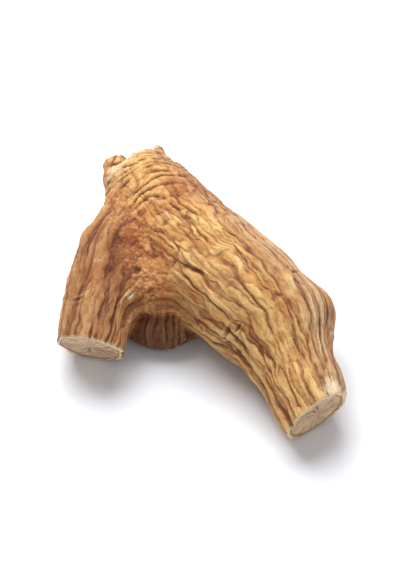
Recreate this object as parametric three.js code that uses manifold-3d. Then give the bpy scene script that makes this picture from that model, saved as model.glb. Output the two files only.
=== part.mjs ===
// A dried soapwort root: one thick forked piece that lies on its side.
// Millimetres, +Z up. The origin is on the surface that the root lies on, under the middle of
// the root. The crown is at +Y, and the two legs of the fork point to -Y.

import * as THREE from 'three';
import { mergeVertices } from 'three/addons/utils/BufferGeometryUtils.js';
import Module from 'manifold-3d';

// Stations of a limb: centre x, y, z and the radius there.
// The trunk runs from the crown through the thick body and on into the long leg.
const trunkStations = [
  [-15.6, 45.4, 6.0, 5.8],
  [-14.2, 37.4, 6.9, 6.3],
  [-12.5, 29.9, 8.0, 7.1],
  [-10.0, 22.2, 9.0, 9.3],
  [-6.4, 14.0, 10.4, 10.4],
  [-2.2, 6.0, 11.2, 11.5],
  [4.4, -2.4, 11.6, 12.0],
  [10.2, -9.4, 11.3, 11.7],
  [15.4, -16.2, 10.2, 10.3],
  [19.1, -24.6, 8.4, 8.1],
  [22.2, -33.4, 7.0, 7.1],
  [24.8, -41.6, 6.0, 6.6],
];
// The short leg leaves the body below the crown.
const shortLegStations = [
  [-11.0, 19.0, 9.6, 7.2],
  [-13.8, 12.0, 9.8, 7.4],
  [-17.5, 3.6, 9.2, 8.0],
  [-20.0, -6.2, 8.0, 7.5],
  [-21.6, -15.8, 7.0, 7.2],
  [-23.0, -24.6, 6.2, 7.0],
];
// Swellings, each an ellipsoid: centre and its three half-widths.
const swellings = [
  { at: [-10.2, 6.4, 9.6], halfWidths: [9.4, 11.0, 8.4] }, // shoulder between the legs
  { at: [-9.0, -2.5, 12.0], halfWidths: [9.0, 8.5, 5.5] }, // web that closes the fork
  { at: [-7.2, -5.6, 4.6], halfWidths: [9.6, 8.2, 5.6] }, // belly under the fork
  { at: [20.2, -12.6, 11.0], halfWidths: [6.6, 7.2, 7.2] }, // knot on the outer side
];
// Bud scar beside the crown: a short broken stub.
const budScar = { at: [-17.3, 30.2, 9.4], halfWidths: [2.5, 4.0, 2.9] };
const budCut = { at: [-17.6, 32.3, 10.4], facing: [-0.25, 0.8, 0.54] };
// Knife cuts: a point on each and the way that the cut face looks.
const cutWidth = 34;
const cuts = [
  { at: [-12.6, 33.5, 8.0], facing: [-0.62, 0.66, 0.43] }, // crown
  { at: [22.6, -35.0, 6.9], facing: [0.578, -0.765, -0.276] }, // long leg
  { at: [-21.8, -17.2, 6.9], facing: [-0.212, -0.868, -0.449] }, // short leg
];

const curveTension = 0.5;
const trunkSides = 44;
const trunkRows = 40;
const shortLegSides = 32;
const shortLegRows = 20;
const swellingSides = 32;
const swellingRows = 20;
const floorBlock = { width: 140, depth: 40 };

const wasm = await Module();
wasm.setup();

// Smooth curve through points, the same kind for centre lines and for radii.
function curveThrough(points) {
  return new THREE.CatmullRomCurve3(points, false, 'catmullrom', curveTension);
}

// Closed solid from a three.js geometry: shared vertices merged, collapsed triangles left out.
function solid(geometry) {
  const bare = geometry.clone();
  bare.deleteAttribute('normal');
  bare.deleteAttribute('uv');
  const merged = mergeVertices(bare);
  const index = merged.index.array;
  const triangles = [];
  for (let i = 0; i < index.length; i += 3) {
    const [a, b, c] = [index[i], index[i + 1], index[i + 2]];
    if (a !== b && b !== c && c !== a) triangles.push(a, b, c);
  }
  return new wasm.Manifold(new wasm.Mesh({
    numProp: 3,
    vertProperties: new Float32Array(merged.attributes.position.array),
    triVerts: new Uint32Array(triangles),
  }));
}

// A limb is a turned profile of the radii, bent along the limb's centre line.
function limb(stations, sides, rows) {
  const centreLine = curveThrough(stations.map(([x, y, z]) => new THREE.Vector3(x, y, z)));
  const radii = curveThrough(stations.map(([, , , radius]) => new THREE.Vector3(radius, 0, 0)));
  const frames = centreLine.computeFrenetFrames(rows, false);
  const profile = [new THREE.Vector2(0, 0)];
  for (let row = 0; row <= rows; row += 1) {
    const t = centreLine.getUtoTmapping(row / rows);
    profile.push(new THREE.Vector2(radii.getPoint(t).x, row));
  }
  profile.push(new THREE.Vector2(0, rows));
  const geometry = new THREE.LatheGeometry(profile, sides);
  const position = geometry.attributes.position;
  for (let i = 0; i < position.count; i += 1) {
    const row = Math.round(position.getY(i));
    const bent = centreLine.getPointAt(row / rows)
      .addScaledVector(frames.normals[row], position.getX(i))
      .addScaledVector(frames.binormals[row], -position.getZ(i));
    position.setXYZ(i, bent.x, bent.y, bent.z);
  }
  return solid(geometry);
}

function swelling({ at, halfWidths }) {
  const geometry = new THREE.SphereGeometry(1, swellingSides, swellingRows);
  geometry.scale(...halfWidths);
  geometry.translate(...at);
  return solid(geometry);
}

// Block that takes away all of one limb past a knife cut.
function pastCut({ at, facing }) {
  const direction = new THREE.Vector3(...facing).normalize();
  const turn = new THREE.Quaternion().setFromUnitVectors(new THREE.Vector3(0, 0, 1), direction);
  const geometry = new THREE.BoxGeometry(cutWidth, cutWidth, cutWidth);
  geometry.translate(0, 0, cutWidth / 2);
  geometry.applyQuaternion(turn);
  geometry.translate(...at);
  return solid(geometry);
}

// Block below the resting surface: it leaves the flats that the root lies on.
function belowFloor({ width, depth }) {
  const geometry = new THREE.BoxGeometry(width, width, depth);
  geometry.translate(0, 0, -depth / 2);
  return solid(geometry);
}

let body = limb(trunkStations, trunkSides, trunkRows)
  .add(limb(shortLegStations, shortLegSides, shortLegRows));
for (const cut of cuts) body = body.subtract(pastCut(cut));
for (const one of swellings) body = body.add(swelling(one));
body = body.add(swelling(budScar).subtract(pastCut(budCut)));
body = body.subtract(belowFloor(floorBlock));

const mesh = body.getMesh();
const geometry = new THREE.BufferGeometry();
geometry.setAttribute('position', new THREE.BufferAttribute(mesh.vertProperties, 3));
geometry.setIndex(new THREE.BufferAttribute(mesh.triVerts, 1));
geometry.computeVertexNormals();

const driedBark = new THREE.MeshStandardMaterial({ color: 0xae7f52, roughness: 0.78, metalness: 0 });
const root = new THREE.Mesh(geometry, driedBark);
root.name = 'forked_root';

const group = new THREE.Group();
group.add(root);

export default group;
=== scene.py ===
import math
import bpy
import numpy as np
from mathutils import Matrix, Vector


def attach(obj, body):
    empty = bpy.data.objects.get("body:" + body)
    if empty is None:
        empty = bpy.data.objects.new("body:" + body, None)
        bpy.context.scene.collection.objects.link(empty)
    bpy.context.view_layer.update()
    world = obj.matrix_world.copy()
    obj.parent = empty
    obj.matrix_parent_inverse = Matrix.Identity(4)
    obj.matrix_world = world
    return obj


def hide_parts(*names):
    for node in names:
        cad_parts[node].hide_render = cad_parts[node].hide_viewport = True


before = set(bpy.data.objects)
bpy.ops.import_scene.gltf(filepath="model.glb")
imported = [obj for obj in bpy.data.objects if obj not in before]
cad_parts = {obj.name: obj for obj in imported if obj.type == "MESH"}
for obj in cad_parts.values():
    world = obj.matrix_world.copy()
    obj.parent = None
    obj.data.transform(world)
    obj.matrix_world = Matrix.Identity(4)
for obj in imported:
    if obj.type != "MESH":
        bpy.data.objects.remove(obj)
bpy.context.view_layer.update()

mm = 0.001

# Shape of the root in mm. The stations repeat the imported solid's own: centre x, y, z and radius.
rootShape = {
    "trunk": [
        (-15.6, 45.4, 6.0, 5.8), (-14.2, 37.4, 6.9, 6.3), (-12.5, 29.9, 8.0, 7.1),
        (-10.0, 22.2, 9.0, 9.3), (-6.4, 14.0, 10.4, 10.4), (-2.2, 6.0, 11.2, 11.5),
        (4.4, -2.4, 11.6, 12.0), (10.2, -9.4, 11.3, 11.7), (15.4, -16.2, 10.2, 10.3),
        (19.1, -24.6, 8.4, 8.1), (22.2, -33.4, 7.0, 7.1), (24.8, -41.6, 6.0, 6.6),
    ],
    "shortLeg": [
        (-11.0, 19.0, 9.6, 7.2), (-13.8, 12.0, 9.8, 7.4), (-17.5, 3.6, 9.2, 8.0),
        (-20.0, -6.2, 8.0, 7.5), (-21.6, -15.8, 7.0, 7.2), (-23.0, -24.6, 6.2, 7.0),
    ],
    "shoulder": {"at": (-10.2, 6.4, 9.6), "halfWidths": (9.4, 11.0, 8.4)},
    "web": {"at": (-9.0, -2.5, 12.0), "halfWidths": (9.0, 8.5, 5.5)},
    "belly": {"at": (-7.2, -5.6, 4.6), "halfWidths": (9.6, 8.2, 5.6)},
    "budScar": {"at": (-17.3, 30.2, 9.4), "halfWidths": (2.5, 4.0, 2.9)},
    "budCut": {"at": (-17.6, 32.3, 10.4), "facing": (-0.25, 0.80, 0.54)},
    "knot": {"at": (20.2, -12.6, 11.0), "halfWidths": (6.6, 7.2, 7.2)},
    "crownCut": {"at": (-12.6, 33.5, 8.0), "facing": (-0.62, 0.66, 0.43)},
    "longCut": {"at": (22.6, -35.0, 6.9), "facing": (0.578, -0.765, -0.276)},
    "shortCut": {"at": (-21.8, -17.2, 6.9), "facing": (-0.212, -0.868, -0.449)},
    "samplesPerSpan": 40,  # places on a centre line between two stations
    "sides": 96,  # points round a limb
    "swellingGrid": (40, 64),  # rows on a swelling and points round it
    "swellingTip": 0.03,  # angle from a swelling's poles at which its rows begin
    "voxel": 0.21,  # step of the joined skin
    "blend": 1.3,  # how softly the limbs run into each other
    "creaseBlend": 0.4,  # the same where the belly meets the fork
    "rimBlend": 0.22,  # how rounded the edge of a cut is
    "settleRounds": 4,  # how often the joined skin is moved on to the field's surface
    "leastSteepness": 0.3,  # keeps a move short where the ways out cancel
    "pointsAtOnce": 20000,  # keeps the table of distances to a centre line small
}
swellingNames = ("shoulder", "web", "budScar", "knot", "belly")
bodyRadius = 11.0  # the body's usual radius, which turns angles into mm


def unit(v):
    # A vector divided by its length.
    return v / np.maximum(np.linalg.norm(v, axis=-1, keepdims=True), 1e-9)


def placed(name, data):
    # An object of that name and data, in the scene.
    made = bpy.data.objects.new(name, data)
    bpy.context.scene.collection.objects.link(made)
    return made


def evaluated(holder):
    # The object as its modifiers leave it.
    bpy.context.view_layer.update()
    return holder.evaluated_get(bpy.context.evaluated_depsgraph_get())


def turnFrom(angle, start):
    # How far an angle is from a start angle, from 0 to pi either way round.
    return np.abs(np.angle(np.exp(1j * (angle - start))))


def curveThrough(points, perSpan):
    # Catmull-Rom curve: on each span the cubic that passes both its ends with the slope of
    # half the gap between each end's neighbours. The end neighbours are mirrored.
    p = np.asarray(points, float)
    p = np.vstack([2 * p[0] - p[1], p, 2 * p[-1] - p[-2]])
    t = np.linspace(0, 1, perSpan, endpoint=False)[None, :, None]
    a, b, c, d = (p[i:len(p) - 3 + i, None, :] for i in range(4))
    curve = 0.5 * (2 * b + (c - a) * t + (2 * a - 5 * b + 4 * c - d) * t ** 2
                   + (3 * b - a - 3 * c + d) * t ** 3)
    return np.vstack([curve.reshape(-1, p.shape[1]), p[-2]])


def limbLine(stations):
    # Centre line resampled at even steps of arc length, with a level side vector square to
    # the line, a rise vector square to both, and the radius.
    raw = curveThrough(stations, rootShape["samplesPerSpan"])
    run = np.r_[0, np.cumsum(np.linalg.norm(np.diff(raw[:, :3], axis=0), axis=1))]
    along = np.linspace(0, run[-1], len(raw))
    even = np.stack([np.interp(along, run, raw[:, k]) for k in range(4)], 1)
    tangent = unit(np.gradient(even[:, :3], axis=0))
    side = unit(np.cross(tangent, (0.0, 0.0, 1.0)))
    rise = np.cross(side, tangent)
    return {"centre": even[:, :3], "radius": even[:, 3], "tangent": tangent,
            "side": side, "rise": rise, "along": along}


def closedGrid(grid):
    # Rows of rings, each ring closed on itself, with a fan from the mean point of each end.
    rows, sides = grid.shape[:2]
    points = np.vstack([grid.reshape(-1, 3), grid[0].mean(0), grid[-1].mean(0)])
    row, col = np.meshgrid(np.arange(rows - 1), np.arange(sides), indexing="ij")
    nextCol = (col + 1) % sides
    squares = np.stack([row * sides + col, row * sides + nextCol,
                        (row + 1) * sides + nextCol, (row + 1) * sides + col], -1).reshape(-1, 4)
    ring = np.arange(sides)
    nextRing = (ring + 1) % sides
    lastRow = (rows - 1) * sides
    startTip = np.full(sides, rows * sides)
    fans = np.vstack([np.stack([startTip, nextRing, ring], 1),
                      np.stack([startTip + 1, lastRow + ring, lastRow + nextRing], 1)])
    return points, squares, fans


def limbSurface(line, cuts):
    # A circle of the limb's radius carried along its centre line. Points past a cut are moved
    # back along the tangent on to the cut.
    turn = np.linspace(0, 2 * np.pi, rootShape["sides"], endpoint=False)[None, :, None]
    grid = (line["centre"][:, None] + line["radius"][:, None, None]
            * (np.cos(turn) * line["side"][:, None] + np.sin(turn) * line["rise"][:, None]))
    for cut in cuts:
        facing = unit(np.array(cut["facing"]))
        past = np.maximum((grid - cut["at"]) @ facing, 0)
        slope = (line["tangent"] @ facing)[:, None]
        back = past / np.where(slope == 0, 1, slope)
        grid = grid - line["tangent"][:, None] * back[..., None]
    return closedGrid(grid)


def swellingSurface(swelling):
    # Ellipsoid: the unit sphere in polar angles, stretched by the three half-widths.
    tip = rootShape["swellingTip"]
    rows, sides = rootShape["swellingGrid"]
    polar = np.linspace(tip, np.pi - tip, rows)[:, None]
    turn = np.linspace(0, 2 * np.pi, sides, endpoint=False)[None, :]
    ball = np.stack([np.sin(polar) * np.cos(turn), np.sin(polar) * np.sin(turn),
                     np.cos(polar) + 0 * turn], -1)
    return closedGrid(ball * swelling["halfWidths"] + swelling["at"])


def remeshed(surfaces, voxel):
    # All surfaces in one mesh, made into one skin of even squares with a step of one voxel.
    points, faces, start = [], [], 0
    for surfacePoints, squares, fans in surfaces:
        points.append(surfacePoints)
        faces += (squares + start).tolist() + (fans + start).tolist()
        start += len(surfacePoints)
    mesh = bpy.data.meshes.new("joined")
    mesh.from_pydata((np.vstack(points) * mm).tolist(), [], faces)
    holder = placed("joined", mesh)
    skin = holder.modifiers.new("skin", "REMESH")
    skin.mode = "VOXEL"
    skin.voxel_size = voxel * mm
    finished = evaluated(holder)
    done = finished.to_mesh()
    places = np.empty(len(done.vertices) * 3)
    done.vertices.foreach_get("co", places)
    corners = np.empty(len(done.loops), int)
    done.loops.foreach_get("vertex_index", corners)
    finished.to_mesh_clear()
    bpy.data.objects.remove(holder)
    bpy.data.meshes.remove(mesh)
    return places.reshape(-1, 3) / mm, corners.reshape(-1, 4)


def limbField(points, line):
    # For each point the nearest place on the centre line: distance to the limb's skin, the
    # way out from the line, the length along it, the angle round it, and the radius there.
    nearest = np.empty(len(points), int)
    step = rootShape["pointsAtOnce"]
    for start in range(0, len(points), step):
        gap = (line["centre"] ** 2).sum(1) - 2 * points[start:start + step] @ line["centre"].T
        nearest[start:start + step] = gap.argmin(1)
    extra = ((points - line["centre"][nearest]) * line["tangent"][nearest]).sum(1)
    along = np.clip(line["along"][nearest] + extra, 0, line["along"][-1])
    at = along / line["along"][1]
    low = np.minimum(at.astype(int), len(line["along"]) - 2)
    part = (at - low)[:, None]
    there = {k: line[k][low] * (1 - part) + line[k][low + 1] * part
             for k in ("centre", "side", "rise")}
    radius = line["radius"][low] * (1 - part[:, 0]) + line["radius"][low + 1] * part[:, 0]
    out = points - there["centre"]
    reach = np.linalg.norm(out, axis=1)
    angle = np.arctan2((out * there["rise"]).sum(1), (out * there["side"]).sum(1))
    return {"distance": reach - radius, "out": unit(out), "along": along,
            "angle": angle, "radius": radius, "share": reach / radius}


def swellingField(points, swelling):
    # Near distance to an ellipsoid: with q the point in half-widths, |q| (|q| - 1) over the
    # length of q in half-widths again.
    half = np.array(swelling["halfWidths"])
    q = (points - swelling["at"]) / half
    size = np.linalg.norm(q, axis=1)
    steep = np.maximum(np.linalg.norm(q / half, axis=1), 1e-6)
    return {"distance": size * (size - 1) / steep, "out": unit(q / half)}


def softest(fields, width):
    # Soft minimum of distances: minus width times the log of the sum of exp(-value / width).
    # The same shares blend the ways out. A negative width gives the soft maximum.
    v = np.stack([f["distance"] for f in fields])
    best = v.min(0) if width > 0 else v.max(0)
    share = np.exp(-(v - best) / width)
    total = share.sum(0)
    share = share / total
    out = sum(s[:, None] * f["out"] for s, f in zip(share, fields))
    return {"distance": best - width * np.log(total), "out": out}, share


def cutField(points, name):
    # Distance past a cut's plane, plus noise. The crown and its stub are broken, so there the
    # noise doesn't change along the grain, and the fibres end at uneven lengths.
    cut, s = rootShape[name], rootSkin
    facing = unit(np.array(cut["facing"]))
    distance = (points - cut["at"]) @ facing
    if name in s["breaks"]:
        grain = unit(np.array(s["crownGrain"]))
        across = points - (points @ grain)[:, None] * grain
        for step, reach in s["breaks"][name]:
            distance = distance + reach * gradientNoise(across / step, seeds["break"])
    else:
        step, reach = s["cutRough"]
        distance = distance + reach * gradientNoise(points / step, seeds["cutRough"])
    return {"distance": distance, "out": np.broadcast_to(facing, points.shape)}


def rootField(points):
    # Soft union of both limbs, each ended by its cuts, with the swellings. The belly joins
    # last and less softly, which leaves the crease under the fork.
    s = rootShape
    trunk, shortLeg = limbField(points, lines["trunk"]), limbField(points, lines["shortLeg"])
    limbs, capShare, past = [], {}, []
    for limb, names in ((trunk, ("crownCut", "longCut")), (shortLeg, ("shortCut",))):
        cuts = [cutField(points, n) for n in names]
        past += [cut["distance"] for cut in cuts]
        ended, share = softest([limb] + cuts, -s["rimBlend"])
        limbs.append(ended)
        capShare.update(zip(names, share[1:]))
    swellings = {n: swellingField(points, s[n]) for n in swellingNames}
    step, reach = rootSkin["stubRough"]
    swellings["budScar"]["distance"] += reach * gradientNoise(points / step, seeds["stubRough"])
    budCut = cutField(points, "budCut")
    swellings["budScar"], _ = softest([swellings["budScar"], budCut], -s["rimBlend"])
    upper, share = softest(limbs + [swellings[n] for n in swellingNames[:-1]], s["blend"])
    whole, shareOfUpper = softest([upper, swellings["belly"]], s["creaseBlend"])
    for name, owner in (("crownCut", 0), ("longCut", 0), ("shortCut", 1)):
        capShare[name] = capShare[name] * share[owner] * shareOfUpper[0]
    return {"distance": whole["distance"], "out": whole["out"], "trunk": trunk,
            "shortLeg": shortLeg, "belly": swellings["belly"], "capShare": capShare,
            "pastTrunkCut": np.maximum(past[0], past[1]), "pastLegCut": past[2],
            "budShare": share[len(limbs) + swellingNames.index("budScar")],
            "bellyShare": shareOfUpper[1]}


def hashed(table, cell):
    # One number from 0 to 255 for each lattice cell, from a shuffled table.
    return table[(table[(table[cell[:, 0] & 255] + cell[:, 1]) & 255] + cell[:, 2]) & 255]


def gradientNoise(points, seed):
    # Gradient noise: each lattice corner has its own slope; the eight corner values are mixed
    # with 6t^5 - 15t^4 + 10t^3 along each axis. Times 1.5 it runs from about -1 to 1.
    dice = np.random.default_rng(seed)
    table = dice.permutation(256)
    slopes = unit(dice.normal(size=(256, 3)))
    cell = np.floor(points).astype(int)
    part = points - cell
    fade = part ** 3 * (part * (part * 6 - 15) + 10)
    total = np.zeros(len(points))
    for corner in np.ndindex(2, 2, 2):
        rise = (slopes[hashed(table, cell + corner)] * (part - corner)).sum(1)
        total += rise * np.prod(np.where(corner, fade, 1 - fade), axis=1)
    return total * 1.5


def cellNoise(points, diceSeed):
    # Cell noise: each lattice cell holds one seed point, moved at random. Returns the distance
    # to the wall half-way between the two nearest seeds, and a number 0 to 1 of the nearest.
    dice = np.random.default_rng(diceSeed)
    table = dice.permutation(256)
    place = dice.uniform(0.05, 0.95, (256, 3))
    shade = dice.uniform(size=256)
    cell = np.floor(points).astype(int)
    near = np.full((2, len(points)), np.inf)
    nearSeed = np.zeros((2, len(points), 3))
    tone = np.zeros(len(points))
    for corner in np.ndindex(3, 3, 3):
        at = cell + corner - 1
        pick = hashed(table, at)
        seed = at + place[pick]
        gap = ((points - seed) ** 2).sum(1)
        first = gap < near[0]
        second = ~first & (gap < near[1])
        near[1] = np.where(first, near[0], np.where(second, gap, near[1]))
        nearSeed[1] = np.where(first[:, None], nearSeed[0],
                               np.where(second[:, None], seed, nearSeed[1]))
        near[0] = np.where(first, gap, near[0])
        nearSeed[0] = np.where(first[:, None], seed, nearSeed[0])
        tone = np.where(first, shade[pick], tone)
    apart = np.linalg.norm(nearSeed[1] - nearSeed[0], axis=1)
    return (near[1] - near[0]) / (2 * apart), tone


def wrapped(angle, along, around, length):
    # Place on a limb as a point in noise space: a circle whose lattice step is `around` mm on
    # the body, and `length` mm along it.
    ring = bodyRadius / around
    return np.stack([ring * np.cos(angle), ring * np.sin(angle), along / length], 1)


def rounded(size, fullness):
    # Rounded cord between two furrows: 1 - (1 - size / fullness) squared.
    return 1 - (1 - np.clip(size / fullness, 0, 1)) ** 2


def furrows(place, seed, full):
    # Furrows where gradient noise crosses 0: -1 at their bottom, 0 on the cords between.
    return rounded(np.abs(gradientNoise(place, seed)), full) - 1


def cords(place, seed, full):
    # Cords inside the walls of cell noise: -1 at a wall, 0 on a cord, and each cord's number.
    wall, tone = cellNoise(place, seed)
    return rounded(wall, full) - 1, tone


def smoothed(values, faces, rounds):
    # Each round takes every point's value to the mean of its neighbours' over the face edges.
    a, b = faces.ravel(), np.roll(faces, -1, axis=1).ravel()
    count = np.bincount(a, minlength=len(values)) + np.bincount(b, minlength=len(values))
    for _ in range(rounds):
        total = np.bincount(a, values[b], len(values)) + np.bincount(b, values[a], len(values))
        values = total / count
    return values


# The root's skin, in mm and radians.
rootSkin = {
    # Layers: a step round the limb, a step along it and a height. Layers of rounded cords also
    # have the distance from a furrow at which a cord is full.
    "fold": (4.4, 16.0, 0.80),
    "furrows": (2.9, 14.0, 0.55, 0.30),  # long main furrows
    "cords": (1.5, 5.5, 0.34, 0.34),  # lens-shaped cords between them
    "fineCords": (0.8, 2.3, 0.11, 0.36),
    "grain": (0.5, 0.9, 0.05),
    "cordStep": 0.22,  # how much the cords differ in height
    "depth": (0.8, 0.6),  # mean depth of the furrows and how much it varies
    "depthPatch": (6, 10),  # step round and along of that variation
    "thinDepth": 0.8,  # power of the radius by which thin limbs have less
    "sways": ((1.2, 9.0), (0.7, 2.6)),  # how far the furrows wander, and over what length
    "swayAround": 0.7,  # the same round the limb, as a share of that length
    "longFrom": {"trunk": 52.0, "shortLeg": 16.0, "belly": 8.0},  # where the legs begin
    "legRun": 1.7,  # how much longer the cords are on the legs
    # Where the skins of the limbs and of the belly meet.
    "skinBlend": 1.5,  # how softly one skin passes into the next
    "bellyBack": 0.2,  # how far the belly's skin gives way to the limbs'
    "bellyAxis": (0.05, 0.25, 0.97),  # the belly's furrows fan out from here
    "bellyRun": 9.0,  # length along the belly for each radian
    "bellyRelief": 0.6,  # the belly's relief as a share of the limbs'
    "meanDepth": 0.35,  # the relief's mean depth, which the blend keeps
    "mottle": (1.15, 0.30, 0.42, 0.2),  # lumps there: step, height, fullness, difference
    "mottleFrom": (22.0, 9.0),  # where on the trunk they begin and over what length
    "mottleBlend": 3.5,  # how broad the strip between the limbs is
    "mottleEdge": (1.5, 0.5),  # steepness and offset of their edge
    "mottleCalm": 0.45,  # how much the lengthwise relief sinks there
    "lump": (6.5, 0.40),  # broad unevenness: step and height
    # Wrinkles across the limb near the crown.
    "rings": (9.0, 2.8, 0.95, 0.36),
    "fineRings": (4.0, 1.2, 0.30, 0.36),
    "ringSway": (2.0, 6.0),  # how far they wander along, and over what length
    "ringsTo": (36, 8, 0.9),  # how far they run, the sides' difference, the longest side
    "ringsFade": 13,
    "ringSides": (0.6, 0.4),  # their mean strength and how much the sides differ
    "ringPatches": (4.5, 0.8, 0.9),  # step, mean and swing of their patchiness
    "ringPatchLimits": (0.2, 1.2),
    "crownCalm": 0.75,  # how much the lengthwise relief sinks there
    # Small marks. A lip is the raised ring round a mark: how far out it is and its width.
    "markSpans": {"trunk": (14, 78), "shortLeg": (12, 36)},  # where along the limbs they lie
    "markSizes": (0.7, 1.25),
    "slits": 22,
    "slit": {"along": 0.42, "around": 1.25, "depth": 0.36, "lip": (1.7, 0.6), "height": 0.14},
    "rootletScars": 9,
    "rootletScar": {"reach": 1.0, "height": 0.45, "hole": 0.40, "depth": 0.30},
    "pits": [(15.2, -15.3, 20.8), (7.0, -22.0, 10.8), (-12.5, -5.0, 17.0), (-4.0, 18.1, 19.0)],
    "pit": {"reach": 0.75, "depth": 0.55, "lip": (1.3, 0.6), "height": 0.12, "ragged": 0.45},
    "paleScar": {"at": (-13.8, -9.0, 13.6), "reach": 1.2, "height": 0.35, "ragged": 0.6},
    "chips": [((26.2, -32.6, 12.4), 3.0), ((-26.4, -17.0, 9.0), 1.3), ((14.6, -38.4, 4.4), 1.4)],
    "chip": {"edge": 1.4, "depth": 0.35, "ragged": 0.3},
    "raggedStep": 0.9,  # step of the noise that makes edges ragged
    # The cuts and breaks.
    "cutRough": (2.4, 0.10),  # step and reach of their unevenness
    "stubRough": (1.5, 0.4),
    "breaks": {"crownCut": ((3.4, 1.15), (1.0, 0.45)), "budCut": ((1.3, 0.5), (0.7, 0.3))},
    "crownGrain": (-0.25, 0.95, -0.12),  # which way the crown's fibres run
    "cutDish": 0.34,  # how hollow a cut face has dried
    "crownDish": 0.9,
    "barkFrom": (0.85, 0.06),  # share of the radius where the bark begins, and step
    "barkWaver": 0.08,
    "dishShares": (0.6, 0.4),  # how much of a dish is step and how much bowl
    "cutWaves": (5, 1.5, 0.10),  # steps of the waves round and outwards, and height
    "cutFrom": 0.02,  # share of a cut from which a point lies on it
    "cutFade": 0.9,  # how far in from its edge the bark's relief reaches
    "offBelly": 0.3,  # share of the belly from which that relief isn't turned sideways
    "cracks": 5,  # drying cracks on each limb's cuts
    # A crack starts and ends at a share of the radius, each with the length of its fade.
    "crack": {"from": (0.08, 0.12), "to": (0.80, 0.15), "bend": (0.25, 5), "legTurn": 2.4,
              "radius": 7, "width": 0.20, "depth": 0.4},
    # What the finish reads.
    "crestRounds": (26, 160),  # smoothing for the near and the broad surroundings
    "crestShares": (0.65, 0.35),
    "crestReach": 0.30,  # height above them that makes a full crest
    # Where the skin is orange and spotted: a place, how far it reaches each way and how strong.
    "orangeZones": [((-13.5, 1.0, 16.0), (8.5, 12.0, 9.0), 1.1),
                    ((-8.5, -8.0, 11.0), (9.0, 6.0, 6.0), 1.1),
                    ((-3.4, 14.0, 20.0), (6.5, 7.0, 8.0), 1.1)],
    # The lower short leg is tinted browner and darker: painted shade where it turns from the light.
    "lowLegShadeFrom": (4, 12),  # where on the short leg it turns brown, and over what length
    "rimReach": 0.75,  # width of the pale rim at a cut
    "stubPale": 0.6,
    # A painted highlight: a lighter, yellower band along the lit top of the trunk.
    "litTopSide": (1.30, 0.55),  # side of the trunk and width
    # Painted shade: a cooler, greyer strip on the trunk's side that turns from the light.
    "shadedSidePlace": (2.6, 0.9, 0.5),  # side of the trunk, width and fade
    "triangles": 194000,
    # Where each random table starts. A limb's and the belly's skin use the eight after their own.
    "seeds": {"marks": 11, "trunk": 31, "shortLeg": 51, "belly": 71, "mottle": 82, "lump": 83,
              "rings": 84, "ragged": 85, "cutWaves": 86, "ringSway": 87, "fineRings": 88,
              "ringPatches": 89, "cutRough": 101, "break": 102, "stubRough": 103},
}
seeds = rootSkin["seeds"]


def limbSkin(limb, seed, longFrom):
    # Height of the skin over a limb: broad folds, long furrows, cords, fine cords and grain,
    # on angles that wander with the length. Past longFrom the cords are drawn out by legRun.
    s = rootSkin
    angle, along = limb["angle"], limb["along"]
    for offset, (reach, length) in enumerate(s["sways"], 1):
        wander = gradientNoise(wrapped(angle, along, length * s["swayAround"], length),
                               seed + offset)
        angle = angle + wander * reach / bodyRadius
    past = np.maximum(along - longFrom, 0)
    run = along - past + past / s["legRun"]
    around, length, foldHeight = s["fold"]
    height = foldHeight * gradientNoise(wrapped(angle, along, around, length), seed + 3)
    mean, swing = s["depth"]
    depth = mean + swing * gradientNoise(wrapped(angle, along, *s["depthPatch"]), seed + 4)
    depth *= np.clip(limb.get("radius", bodyRadius) / bodyRadius, 0, 1) ** s["thinDepth"]
    around, length, furrowHeight, full = s["furrows"]
    height += furrows(wrapped(angle, run, around, length), seed + 5, full) * furrowHeight * depth
    around, length, cordHeight, full = s["cords"]
    cord, tone = cords(wrapped(angle, run, around, length), seed + 6, full)
    height += cord * cordHeight * depth + (tone - 0.5) * s["cordStep"]
    around, length, fineHeight, full = s["fineCords"]
    cord, _ = cords(wrapped(angle, run, around, length), seed + 7, full)
    height += cord * fineHeight * depth
    around, length, grainHeight = s["grain"]
    height += grainHeight * gradientNoise(wrapped(angle, run, around, length), seed + 8)
    return height, tone


def bellyPlaces(points):
    # Place on the belly as on a limb: the angle round its axis, and as the length along it the
    # angle away from the axis times bellyRun.
    axis = unit(np.array(rootSkin["bellyAxis"]))
    out = points - rootShape["belly"]["at"]
    side = unit(np.cross(axis, (1.0, 0.0, 0.0)))
    across = np.cross(axis, side)
    steep = np.arccos(np.clip(unit(out) @ axis, -1, 1))
    return {"angle": np.arctan2(out @ across, out @ side), "along": steep * rootSkin["bellyRun"]}


def blendedSkins(limbs, share):
    # The skins of both limbs and of the belly in one, each by its share. Their sum is divided
    # by the length of the shares as a vector, so that the relief stays as high where they meet.
    s = rootSkin
    skins = {name: limbSkin(limb, seeds[name], s["longFrom"][name]) for name, limb in limbs.items()}
    skins["belly"] = (skins["belly"][0] * s["bellyRelief"], skins["belly"][1])
    norm = np.sqrt((share ** 2).sum(0))
    height = sum(w * (h + s["meanDepth"]) for w, (h, _) in zip(share, skins.values())) / norm
    tone = sum(w * (t - 0.5) for w, (_, t) in zip(share, skins.values())) / norm
    return height - s["meanDepth"], tone + 0.5


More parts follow.
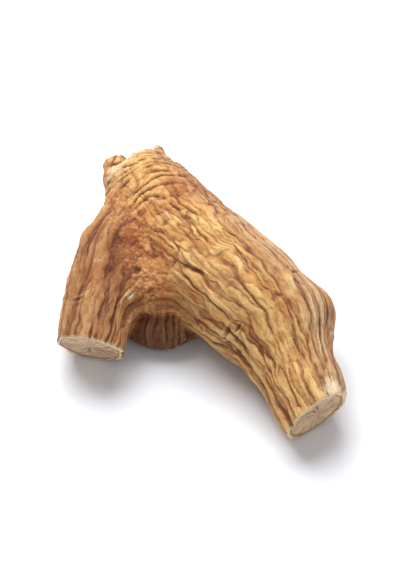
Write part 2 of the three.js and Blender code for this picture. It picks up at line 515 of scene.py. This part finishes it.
def mottled(height, points, limbs, share):
    # Short lumps where the two limbs are equally near, 4ab of their soft shares a and b, in
    # place of part of the cords. Broad unevenness goes over everything.
    s = rootSkin
    _, wide = softest([limbs["trunk"], limbs["shortLeg"]], s["mottleBlend"])
    steepness, offset = s["mottleEdge"]
    meeting = np.clip(4 * wide[0] * wide[1] * steepness - offset, 0, 1) * (1 - share[2])
    start, length = s["mottleFrom"]
    meeting *= np.clip((limbs["trunk"]["along"] - start) / length, 0, 1)
    step, lumpHeight, full, difference = s["mottle"]
    lumps, tone = cords(points / step, seeds["mottle"], full)
    mottle = lumps * lumpHeight + (tone - 0.5) * difference
    height = height * (1 - s["mottleCalm"] * meeting) + meeting * mottle
    step, lumpHeight = s["lump"]
    return height + gradientNoise(points / step, seeds["lump"]) * lumpHeight


def ringed(height, points, trunk, onTrunk):
    # Wrinkles across the trunk near the crown: rounded cords whose length along the trunk is
    # bent by noise. They are strongest on one side, and patchy.
    s = rootSkin
    to, difference, side = s["ringsTo"]
    facing = np.cos(trunk["angle"] - side)
    ringsTo = to + difference * facing
    crownNear = np.clip((ringsTo - trunk["along"]) / s["ringsFade"], 0, 1) * onTrunk
    mean, swing = s["ringSides"]
    wrinkled = crownNear * (mean + swing * facing)
    height = height * (1 - s["crownCalm"] * wrinkled)
    reach, length = s["ringSway"]
    bent = trunk["along"] + reach * gradientNoise(points / length, seeds["ringSway"])
    step, mean, swing = s["ringPatches"]
    patches = mean + swing * gradientNoise(points / step, seeds["ringPatches"])
    wrinkled *= np.clip(patches, *s["ringPatchLimits"])
    for name in ("rings", "fineRings"):
        around, length, ringHeight, full = s[name]
        place = wrapped(trunk["angle"], bent, around, length)
        height += wrinkled * furrows(place, seeds[name], full) * ringHeight
    return height, crownNear, bent


def scar(limb, along, angle, length, width):
    # Square of the distance from a place on a limb, in half-lengths along and half-widths round.
    turn = np.angle(np.exp(1j * (limb["angle"] - angle))) * limb["radius"]
    return ((limb["along"] - along) / length) ** 2 + (turn / width) ** 2


def lipAt(far, where, width):
    # Raised ring round a mark: exp(-((far - where) / width) squared).
    return np.exp(-((far - where) / width) ** 2)


def marked(height, limbs, share, dice):
    # Slits across the cords and round rootlet scars, at random places, each a hole
    # exp(-distance squared) with a raised edge. Every third one is on the short leg. Also
    # returns how far down a hole each point is.
    s = rootSkin
    hollow = np.zeros(len(height))
    for n in range(s["slits"] + s["rootletScars"]):
        name, onLimb = ("shortLeg", share[1]) if n % 3 == 2 else ("trunk", share[0])
        place = dice.uniform(*s["markSpans"][name]), dice.uniform(-np.pi, np.pi)
        size = dice.uniform(*s["markSizes"])
        if n < s["slits"]:
            mark = s["slit"]
            far = scar(limbs[name], *place, mark["along"] * size, mark["around"] * size)
            hole = np.exp(-far) * onLimb
            raised = lipAt(np.sqrt(far), *mark["lip"]) * onLimb
        else:
            mark = s["rootletScar"]
            far = scar(limbs[name], *place, mark["reach"] * size, mark["reach"] * size)
            hole = np.exp(-(np.sqrt(far) / mark["hole"]) ** 2) * onLimb
            raised = np.exp(-far ** 2) * onLimb
        height += (mark["height"] * raised - mark["depth"] * hole) * size
        hollow = np.maximum(hollow, hole)
    return height, hollow


def pitted(height, hollow, points, ragged):
    # Pits, a pale scar and chips of bark, at set places and with ragged edges. Also returns
    # where the skin is pale.
    s = rootSkin
    pit = s["pit"]
    for place in s["pits"]:
        far = np.linalg.norm(points - place, axis=1) * (1 + pit["ragged"] * ragged)
        hole = np.exp(-(far / pit["reach"]) ** 2)
        height += pit["height"] * lipAt(far, *pit["lip"]) - pit["depth"] * hole
        hollow = np.maximum(hollow, hole)
    scarring = s["paleScar"]
    pale = np.exp(-((points - scarring["at"]) ** 2).sum(1) / scarring["reach"] ** 2)
    height += scarring["height"] * pale * (1 + scarring["ragged"] * ragged)
    for place, reach in s["chips"]:
        far = np.linalg.norm(points - place, axis=1) / reach * (1 + s["chip"]["ragged"] * ragged)
        chipped = np.clip(s["chip"]["edge"] - far, 0, 1)
        height -= s["chip"]["depth"] * chipped
        pale = np.maximum(pale, chipped)
    return height, hollow, pale


def crests(height, faces):
    # How far a point stands above its near and its broad surroundings, from 0 to 1.
    # Where this is low the bark is coloured dark: painted shade in the furrows.
    near, broad = (height - smoothed(height, faces, rounds) for rounds in rootSkin["crestRounds"])
    nearShare, broadShare = rootSkin["crestShares"]
    above = nearShare * near + broadShare * broad
    return np.clip(0.5 + above / (2 * rootSkin["crestReach"]), 0, 1)


def cutRelief(cutRing, cutAngle, onTrunk, crownShare, ragged, dice):
    # Relief of a cut face: a step down inside the bark and a bowl 1 - radius squared, uneven by
    # noise, and cracks that run outwards along a sine and fade at both ends.
    s, c = rootSkin, rootSkin["crack"]
    barkFrom, step = s["barkFrom"]
    edge = (barkFrom - cutRing) / step + s["barkWaver"] * ragged
    stepShare, bowlShare = s["dishShares"]
    inner = stepShare * np.clip(edge, 0, 1) + bowlShare * (1 - np.clip(cutRing, 0, 1) ** 2)
    dish = -inner * (s["cutDish"] + (s["crownDish"] - s["cutDish"]) * crownShare)
    around, outwards, waveHeight = s["cutWaves"]
    place = np.stack([np.cos(cutAngle) * around, np.sin(cutAngle) * around, cutRing * outwards], 1)
    dish += waveHeight * gradientNoise(place, seeds["cutWaves"])
    crack = np.zeros(len(cutRing))
    sway, swayCount = c["bend"]
    (start, startFade), (end, endFade) = c["from"], c["to"]
    fade = np.clip((cutRing - start) / startFade, 0, 1) * np.clip((end - cutRing) / endFade, 0, 1)
    for angle in dice.uniform(-np.pi, np.pi, s["cracks"]):
        bend = angle + sway * np.sin(cutRing * swayCount + angle)
        bend += np.where(onTrunk, 0, c["legTurn"])
        apart = turnFrom(cutAngle, bend) * cutRing * c["radius"]
        crack = np.maximum(crack, np.exp(-(apart / c["width"]) ** 2) * fade)
    return dish - c["depth"] * crack, crack


def settled(points):
    # Newton steps on to the field's surface: each point moves along its way out by the distance
    # over the way's squared length.
    for _ in range(rootShape["settleRounds"]):
        field = rootField(points)
        steep = np.maximum((field["out"] ** 2).sum(1), rootShape["leastSteepness"])
        points = points - field["out"] * (field["distance"] / steep)[:, None]
    return points


print("root: surfaces")
lines = {name: limbLine(rootShape[name]) for name in ("trunk", "shortLeg")}
surfaces = [
    limbSurface(lines["trunk"], (rootShape["crownCut"], rootShape["longCut"])),
    limbSurface(lines["shortLeg"], (rootShape["shortCut"],)),
] + [swellingSurface(rootShape[n]) for n in swellingNames]
points, quads = remeshed(surfaces, rootShape["voxel"])
print("root: skin of", len(points), "points,", 2 * len(quads), "triangles")

points = settled(points)
field = rootField(points)
normal = unit(field["out"])
print("root: settled to", round(float(np.abs(field["distance"]).max()), 3), "mm")

trunk, shortLeg = field["trunk"], field["shortLeg"]
belly = {**field["belly"], **bellyPlaces(points)}
limbs = {"trunk": trunk, "shortLeg": shortLeg, "belly": belly}
setBack = {"distance": belly["distance"] + rootSkin["bellyBack"], "out": belly["out"]}
_, share = softest([trunk, shortLeg, setBack], rootSkin["skinBlend"])
dice = np.random.default_rng(seeds["marks"])
ragged = gradientNoise(points / rootSkin["raggedStep"], seeds["ragged"])
height, tone = blendedSkins(limbs, share)
height = mottled(height, points, limbs, share)
height, crownNear, bent = ringed(height, points, trunk, share[0])
height, hollow = marked(height, limbs, share, dice)
height, hollow, pale = pitted(height, hollow, points, ragged)
crestAndFurrowShade = crests(height, quads)
print("root: relief from", round(float(height.min()), 2), "to", round(float(height.max()), 2), "mm")

# On a cut the bark's relief moves points sideways, and only near the edge.
capShare = sum(field["capShare"].values())
crownShare = field["capShare"]["crownCut"]
onTrunk = share[0] > share[1]
onCut = capShare > rootSkin["cutFrom"]
depthIn = np.minimum(np.minimum(trunk["distance"], shortLeg["distance"]), 0)
sideShare = np.where(onCut, np.exp(-(depthIn / rootSkin["cutFade"]) ** 2), 1.0)
limbOut = np.where(onTrunk[:, None], trunk["out"], shortLeg["out"])
besideCut = onCut & (share[2] < rootSkin["offBelly"])
sideWay = np.where(besideCut[:, None], limbOut, normal)
cutRing = np.where(onTrunk, trunk["share"], shortLeg["share"])
cutAngle = np.where(onTrunk, trunk["angle"], shortLeg["angle"])
relief, crack = cutRelief(cutRing, cutAngle, onTrunk, crownShare, ragged, dice)
points = points + sideWay * (height * sideShare)[:, None]
points = points + normal * (capShare * relief)[:, None]
points[:, 2] = np.maximum(points[:, 2], 0)

# Where the skin is orange, where the lower short leg gets painted shade, where it is pale at a
# cut's rim, where the trunk's lit top gets a painted highlight and where its far side gets painted
# grey shade, each from 0 to 1.
orange = np.zeros(len(points))
for place, reach, strength in rootSkin["orangeZones"]:
    zone = strength * np.exp(-(((points - place) / reach) ** 2).sum(1))
    orange = np.maximum(orange, np.clip(zone, 0, 1))
# Painted shade down the short leg, strongest towards its end.
shadeStart, shadeLength = rootSkin["lowLegShadeFrom"]
lowLegShade = share[1] * np.clip((shortLeg["along"] - shadeStart) / shadeLength, 0, 1)
past = np.where(onTrunk, field["pastTrunkCut"], field["pastLegCut"])
rimPale = np.exp(-(past / rootSkin["rimReach"]) ** 2) * (1 - field["budShare"])
rimPale = np.maximum(rimPale, rootSkin["stubPale"] * field["budShare"])
# Painted highlight along the top of the trunk, where the light falls.
side, width = rootSkin["litTopSide"]
litTop = np.exp(-((trunk["angle"] - side) / width) ** 2) * share[0]
# Painted grey shade on the trunk's side that turns from the light.
side, width, fade = rootSkin["shadedSidePlace"]
shadedSide = np.clip((width - turnFrom(trunk["angle"], side)) / fade, 0, 1) * share[0]


def newMesh(name, points, faces):
    # A mesh straight from arrays of points and of four-sided faces.
    mesh = bpy.data.meshes.new(name)
    mesh.vertices.add(len(points))
    mesh.vertices.foreach_set("co", (points * mm).astype(np.float32).ravel())
    mesh.loops.add(faces.size)
    mesh.loops.foreach_set("vertex_index", faces.ravel().astype(np.int32))
    mesh.polygons.add(len(faces))
    mesh.polygons.foreach_set("loop_start", (np.arange(len(faces)) * 4).astype(np.int32))
    mesh.update(calc_edges=True)
    mesh.validate()
    return mesh


def keep(mesh, name, values):
    # Stores one value or one vector a point for the materials.
    kind, field = ("FLOAT", "value") if values.ndim == 1 else ("FLOAT_VECTOR", "vector")
    mesh.attributes.new(name, kind, "POINT").data.foreach_set(
        field, values.astype(np.float32).ravel())


def thinned(mesh, triangles):
    # The mesh with flat places thinned out to so many triangles; the ridges keep theirs.
    holder = placed("thinned", mesh)
    thin = holder.modifiers.new("thin", "DECIMATE")
    thin.ratio = triangles / (2 * len(mesh.polygons))
    made = bpy.data.meshes.new_from_object(evaluated(holder))
    bpy.data.objects.remove(holder)
    return made


fullMesh = newMesh("fullSkin", points, quads)
for name, values in {
    "crestAndFurrowShade": crestAndFurrowShade,
    "tone": tone,
    "hollow": hollow,
    "cutFace": capShare,
    "crownEnd": crownShare,
    "paleScar": pale,
    "rimPale": rimPale,
    "lowLegShade": lowLegShade,
    "crack": crack * capShare,
    "onLeg": share[1] / np.maximum(share[0] + share[1], 1e-6),
    "nearCrown": crownNear,
    "grainTrunk": wrapped(trunk["angle"], trunk["along"], 1.0, 1.0),
    "grainLeg": wrapped(shortLeg["angle"], shortLeg["along"], 1.0, 1.0),
    "grainCrown": wrapped(trunk["angle"], bent, 1.0, 1.0),
    # Where the belly under the fork gets its painted shade.
    "belly": field["bellyShare"],
    "cutPlace": np.stack([cutRing * np.cos(cutAngle), cutRing * np.sin(cutAngle), 0 * cutRing], 1),
    "zone": np.stack([orange, litTop, shadedSide], 1),
}.items():
    keep(fullMesh, name, values)
mesh = thinned(fullMesh, rootSkin["triangles"])
mesh.name = "wrinkledRoot"
mesh.polygons.foreach_set("use_smooth", np.ones(len(mesh.polygons), bool))
print("root: thinned to", len(mesh.loops) - 2 * len(mesh.polygons), "triangles")
root = placed("wrinkled_root", mesh)

# Colours are the light that each shade gives back, red, green and blue. A noise is its scale,
# detail and roughness, and edges are the values between which a layer comes in.
barkFinish = {
    # From a furrow's bottom to a crest: the dark furrow bottoms are painted shade, like ambient
    # occlusion.
    "shades": [(0.06, (0.19, 0.073, 0.029)),  # bottom of a furrow
               (0.34, (0.38, 0.175, 0.066)),  # flank
               (0.60, (0.54, 0.300, 0.105)),  # top of a cord
               (0.92, (0.70, 0.450, 0.185))],  # crest
    "small": (1100.0, 4.0, 0.6),
    "patch": (150.0, 3.0, 0.6),
    "swings": {"small": 0.55, "tone": 0.22, "patch": 0.45, "streak": 0.70},
    "streak": (1.0, 4.0, 0.65),
    "stretch": {"grainTrunk": (2.6, 2.6, 0.5), "grainLeg": (2.6, 2.6, 0.5),
                "grainCrown": (0.7, 0.7, 1.9)},
    "rust": {"noise": (210.0, 3.0, 0.6), "edges": (0.46, 0.62), "strength": 0.8,
             "tint": (0.90, 0.72, 0.62)},
    "orangeTint": (0.80, 0.60, 0.52),
    # Painted highlight on the trunk's lit top.
    "litTopTint": (1.06, 1.12, 1.10),
    # Painted shade on the trunk's far side.
    "shadedSideTint": (0.90, 0.96, 1.32),
    # Browner and darker on the lower short leg: painted shade.
    "lowLegShadeTint": (0.68, 0.60, 0.62),
    # Painted shade: the belly under the fork is coloured dark.
    "bellyPaintedShadeTint": (0.32, 0.25, 0.27),
    "scuffs": {"noise": (330.0, 4.0, 0.65), "edges": (0.56, 0.70), "crestEdges": (0.60, 0.90),
               "strength": 0.55, "colour": (0.78, 0.64, 0.42)},
    "specks": {"noise": (1500.0, 2.0, 0.5), "edges": (0.66, 0.74), "strength": 0.5,
               "colour": (0.10, 0.045, 0.025)},
    # Painted shade: holes are coloured dark inside.
    "holePaintedShade": 0.6,
    "chipped": {"swing": 2.2, "edges": (0.30, 0.95), "strength": 0.80,
                "colour": (0.82, 0.67, 0.44)},  # down to the inner bark
    "wornRim": {"edges": (0.40, 0.95), "strength": 0.36},
    "cutEdges": (0.35, 0.65),
    "roughness": {"edges": (0.35, 0.65), "range": (0.62, 0.86)},
    "fine": (2600.0, 4.0, 0.6),
    "relief": {"streak": 1.2, "fine": 0.6, "strength": 0.6, "height": 0.00034},
    "shine": 0.28,
}
woodFinish = {
    "shades": [(0.40, (0.43, 0.270, 0.150)), (0.60, (0.78, 0.570, 0.360))],
    "rays": (11.0, 4.0, 0.7),
    "blotch": (380.0, 4.0, 0.65),
    "rayShare": 0.6,
    "blotchShare": 0.4,
    "wobble": 0.16,  # how far the bark line strays, as a share of the radius
    "barkEdges": (0.86, 0.90),
    "rim": (0.80, 0.620, 0.390),
    "line": {"edges": ((0.79, 0.85), (0.91, 0.86)), "strength": 0.8,
             "colour": (0.24, 0.135, 0.065)},  # the thin line between wood and bark
    "pores": {"noise": (1900.0, 2.0, 0.5), "edges": (0.60, 0.68), "strength": 0.55,
              "colour": (0.20, 0.115, 0.060)},
    "weathered": (0.76, 0.70, 0.62),  # tint of the old break at the crown
    # Painted shade: cracks are coloured dark.
    "crackPaintedShade": 0.85,
}


def newMaterial(name):
    # A material with an empty node tree.
    material = bpy.data.materials.new(name)
    material.use_nodes = True
    tree = material.node_tree
    tree.nodes.clear()
    return material, tree


def node(tree, kind, inputs=(), **settings):
    # A node with its settings, and each input either linked or given a value.
    made = tree.nodes.new(kind)
    for key, value in settings.items():
        setattr(made, key, value)
    for key, value in dict(inputs).items():
        if isinstance(value, bpy.types.NodeSocket):
            tree.links.new(value, made.inputs[key])
        else:
            made.inputs[key].default_value = value
    return made


def stored(tree, name, output="Fac"):
    # What the mesh keeps under a name, as a number or as a vector.
    return node(tree, "ShaderNodeAttribute", attribute_name=name).outputs[output]


def plus(tree, a, b):
    # a + b
    return node(tree, "ShaderNodeMath", {0: a, 1: b}, operation="ADD").outputs[0]


def minus(tree, a, b):
    # a - b
    return node(tree, "ShaderNodeMath", {0: a, 1: b}, operation="SUBTRACT").outputs[0]


def times(tree, a, b):
    # a times b
    return node(tree, "ShaderNodeMath", {0: a, 1: b}, operation="MULTIPLY").outputs[0]


def swing(tree, value, amount):
    # How far a value of 0 to 1 is from one half, times an amount.
    return times(tree, minus(tree, value, 0.5), amount)


def between(tree, value, low, high, newLow=0.0, newHigh=1.0):
    # The value's place between low and high, smoothed at both ends, as a place between
    # newLow and newHigh.
    settings = {"Value": value, "From Min": low, "From Max": high, "To Min": newLow,
                "To Max": newHigh}
    return node(tree, "ShaderNodeMapRange", settings,
                interpolation_type="SMOOTHSTEP").outputs[0]


def shown(tree, value, layer):
    # How much of a layer shows: the value's place between its edges times its strength.
    return times(tree, between(tree, value, *layer["edges"]), layer["strength"])


def mixed(tree, factor, a, b, blend="MIX"):
    # Colour a with the factor's share of b, or of what the blend makes of a and b, over it.
    a, b = ((*c, 1) if isinstance(c, tuple) else c for c in (a, b))
    return node(tree, "ShaderNodeMix", {0: factor, 6: a, 7: b}, data_type="RGBA",
                blend_type=blend).outputs[2]


def tinted(tree, factor, colour, tint):
    # The colour with the factor's share of the colour times a tint over it.
    return mixed(tree, factor, colour, mixed(tree, 1.0, colour, tint, "MULTIPLY"))


def noise(tree, place, scale, detail, roughness):
    # Cloudy noise from 0 to 1, with `scale` lumps to a unit of length.
    return node(tree, "ShaderNodeTexNoise", {"Vector": place, "Scale": scale, "Detail": detail,
                                             "Roughness": roughness}).outputs[0]


def ramp(tree, value, stops):
    # The colour at a value, run straight from each stop to the next.
    made = node(tree, "ShaderNodeValToRGB", {0: value})
    steps = made.color_ramp.elements
    while len(steps) < len(stops):
        steps.new(0.5)
    for step, (position, colour) in zip(steps, stops):
        step.position = position
        step.color = (*colour, 1)
    return made.outputs[0]


def surfaced(tree, settings):
    # A surface with these settings, as what the material shows.
    surface = node(tree, "ShaderNodeBsdfPrincipled", settings)
    node(tree, "ShaderNodeOutputMaterial", {"Surface": surface.outputs["BSDF"]})


def streaks(tree):
    # Fine lines: noise stretched along the trunk and along the short leg, and round the
    # trunk near the crown. Each shows where its part is, and the parts add up to 1.
    shares = []
    crown, leg = stored(tree, "nearCrown"), stored(tree, "onLeg")
    parts = {"grainTrunk": minus(tree, minus(tree, 1.0, leg), crown), "grainLeg": leg,
             "grainCrown": crown}
    for name, stretch in barkFinish["stretch"].items():
        place = node(tree, "ShaderNodeVectorMath", {0: stored(tree, name, "Vector"), 1: stretch},
                     operation="MULTIPLY").outputs[0]
        lines = noise(tree, place, *barkFinish["streak"])
        shares.append(times(tree, lines, parts[name]))
    return plus(tree, plus(tree, shares[0], shares[1]), shares[2])


def woodColour(tree, place):
    # Cut wood: rays from the middle, a darker line under the bark and a pale bark rim.
    w = woodFinish
    cutPlace = stored(tree, "cutPlace", "Vector")
    ring = node(tree, "ShaderNodeVectorMath", {0: cutPlace}, operation="LENGTH").outputs["Value"]
    way = node(tree, "ShaderNodeVectorMath", {0: cutPlace}, operation="NORMALIZE").outputs[0]
    rays = noise(tree, way, *w["rays"])
    blotch = noise(tree, place, *w["blotch"])
    shade = plus(tree, times(tree, rays, w["rayShare"]), times(tree, blotch, w["blotchShare"]))
    wood = ramp(tree, shade, w["shades"])
    wobble = plus(tree, ring, swing(tree, blotch, w["wobble"]))
    rim = mixed(tree, blotch, w["rim"], w["shades"][-1][1])
    wood = mixed(tree, between(tree, wobble, *w["barkEdges"]), wood, rim)
    line = w["line"]
    inside, outside = (between(tree, wobble, *edges) for edges in line["edges"])
    wood = mixed(tree, times(tree, times(tree, inside, outside), line["strength"]), wood,
                 line["colour"])
    pores = w["pores"]
    wood = mixed(tree, shown(tree, noise(tree, place, *pores["noise"]), pores), wood,
                 pores["colour"])
    wood = tinted(tree, stored(tree, "crownEnd"), wood, w["weathered"])
    # Painted shade in the cracks.
    return mixed(tree, times(tree, stored(tree, "crack"), w["crackPaintedShade"]), wood,
                 pores["colour"])


def barkColour(tree, place, small, streak):
    # Dried bark: the crest height and noises pick the colour, darkest in the furrows as painted
    # shade, then tints by where on the root it is: orange skin, a painted highlight on the trunk's
    # top, painted shade on its far side, on the lower short leg and on the belly. Scuffs lie on the
    # crests, specks all over, holes get painted shade, and the inner bark shows in the chips.
    f = barkFinish
    crestAndFurrowShade = stored(tree, "crestAndFurrowShade")
    parts = {"small": small, "tone": stored(tree, "tone"), "streak": streak,
             "patch": noise(tree, place, *f["patch"])}
    # The crest height darkens the furrows as painted shade.
    shade = crestAndFurrowShade
    for name, amount in f["swings"].items():
        shade = plus(tree, shade, swing(tree, parts[name], amount))
    colour = ramp(tree, shade, f["shades"])
    rust = f["rust"]
    colour = tinted(tree, shown(tree, noise(tree, place, *rust["noise"]), rust), colour,
                    rust["tint"])
    zone = node(tree, "ShaderNodeSeparateXYZ", {0: stored(tree, "zone", "Vector")}).outputs
    # The zone's tints: orange skin, the painted highlight on the trunk's top and the painted grey
    # shade on its far side.
    for channel, tint in zip(zone, ("orangeTint", "litTopTint", "shadedSideTint")):
        colour = tinted(tree, channel, colour, f[tint])
    # Painted shade on the lower short leg.
    colour = tinted(tree, stored(tree, "lowLegShade"), colour, f["lowLegShadeTint"])
    # Painted shade on the belly under the fork.
    colour = tinted(tree, stored(tree, "belly"), colour, f["bellyPaintedShadeTint"])
    scuffs = f["scuffs"]
    scuffed = times(tree, between(tree, noise(tree, place, *scuffs["noise"]), *scuffs["edges"]),
                    between(tree, crestAndFurrowShade, *scuffs["crestEdges"]))
    colour = mixed(tree, times(tree, scuffed, scuffs["strength"]), colour, scuffs["colour"])
    specks = f["specks"]
    colour = mixed(tree, shown(tree, noise(tree, place, *specks["noise"]), specks), colour,
                   specks["colour"])
    # Painted shade in the slits, scars and pits.
    colour = mixed(tree, times(tree, stored(tree, "hollow"), f["holePaintedShade"]), colour,
                   specks["colour"])
    chipped = f["chipped"]
    bare = plus(tree, stored(tree, "paleScar"), swing(tree, streak, chipped["swing"]))
    colour = mixed(tree, shown(tree, bare, chipped), colour, chipped["colour"])
    rim = times(tree, stored(tree, "rimPale"), plus(tree, small, 0.5))
    return mixed(tree, shown(tree, rim, f["wornRim"]), colour, scuffs["colour"])


def barkMaterial():
    # Bark outside and wood where it is cut, with the streaks and fine noise as its relief.
    f, relief, rough = barkFinish, barkFinish["relief"], barkFinish["roughness"]
    material, tree = newMaterial("driedBark")
    place = node(tree, "ShaderNodeTexCoord").outputs["Object"]
    small = noise(tree, place, *f["small"])
    streak = streaks(tree)
    cut = between(tree, stored(tree, "cutFace"), *f["cutEdges"])
    colour = mixed(tree, cut, barkColour(tree, place, small, streak), woodColour(tree, place))
    fine = noise(tree, place, *f["fine"])
    raised = plus(tree, times(tree, streak, relief["streak"]), times(tree, fine, relief["fine"]))
    bump = node(tree, "ShaderNodeBump", {"Height": raised, "Strength": relief["strength"],
                                         "Distance": relief["height"]})
    roughness = between(tree, small, *rough["edges"], *rough["range"])
    surfaced(tree, {"Base Color": colour, "Roughness": roughness,
                    "Specular IOR Level": f["shine"], "Normal": bump.outputs[0]})
    return material


mesh.materials.append(barkMaterial())
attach(root, "root")
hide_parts("forked_root")
print("root: finished")

studio = {
    "floorSize": 3.0,
    "floorColour": (0.83, 0.85, 0.90, 1),
    "floorRoughness": 0.6,
    "floorDrop": 0.00004,  # keeps the floor clear of the flats that rest on it
    "worldColour": (1, 1, 1, 1),
    "worldStrength": 0.38,
    "overhead": {"at": (-0.12, 0.30, 0.54), "size": 0.60, "power": 6.5},
    "front": {"at": (0.30, -0.52, 0.42), "size": 0.6, "power": 1.0},
    "elevation": 47.0,  # how far the camera looks down, in degrees
    "lens": 300.0,
    "nearest": 0.01,  # nearest that the camera sees
    "distance": 0.95,
    "target": (0.0, -0.001, 0.008),
}


def aimed(holder, place, way):
    # Puts a lamp or the camera at a place, looking a way.
    holder.location = place
    holder.rotation_euler = way.to_track_quat("-Z", "Y").to_euler()


def paleFloor():
    # One square, a little below the surface that the root lies on.
    half = studio["floorSize"] / 2
    floorMesh = bpy.data.meshes.new("floor")
    corners = [(-half, -half, 0), (half, -half, 0), (half, half, 0), (-half, half, 0)]
    floorMesh.from_pydata(corners, [], [(0, 1, 2, 3)])
    material, tree = newMaterial("paleFloor")
    surfaced(tree, {"Base Color": studio["floorColour"], "Roughness": studio["floorRoughness"]})
    floorMesh.materials.append(material)
    floor = placed("floor", floorMesh)
    floor.location.z = -studio["floorDrop"]


def softLight(name):
    # A square soft light that looks at the origin.
    s = studio[name]
    lamp = bpy.data.lights.new(name, "AREA")
    lamp.size = s["size"]
    lamp.energy = s["power"]
    aimed(placed(name, lamp), Vector(s["at"]), -Vector(s["at"]))


def roomLight():
    # Even light from all round, and shades shown as they are.
    world = bpy.data.worlds.new("studio")
    world.use_nodes = True
    background = world.node_tree.nodes["Background"].inputs
    background["Color"].default_value = studio["worldColour"]
    background["Strength"].default_value = studio["worldStrength"]
    bpy.context.scene.world = world
    bpy.context.scene.view_settings.view_transform = "Standard"


def mainCamera():
    # In front of the target, raised by the elevation and backed off by the distance.
    e = math.radians(studio["elevation"])
    back = Vector((0, -math.cos(e), math.sin(e)))
    data = bpy.data.cameras.new("camera")
    data.lens = studio["lens"]
    data.clip_start = studio["nearest"]
    holder = placed("camera", data)
    aimed(holder, Vector(studio["target"]) + back * studio["distance"], -back)
    bpy.context.scene.camera = holder


paleFloor()
softLight("overhead")
softLight("front")
roomLight()
mainCamera()
print("studio: floor, two lamps and camera")
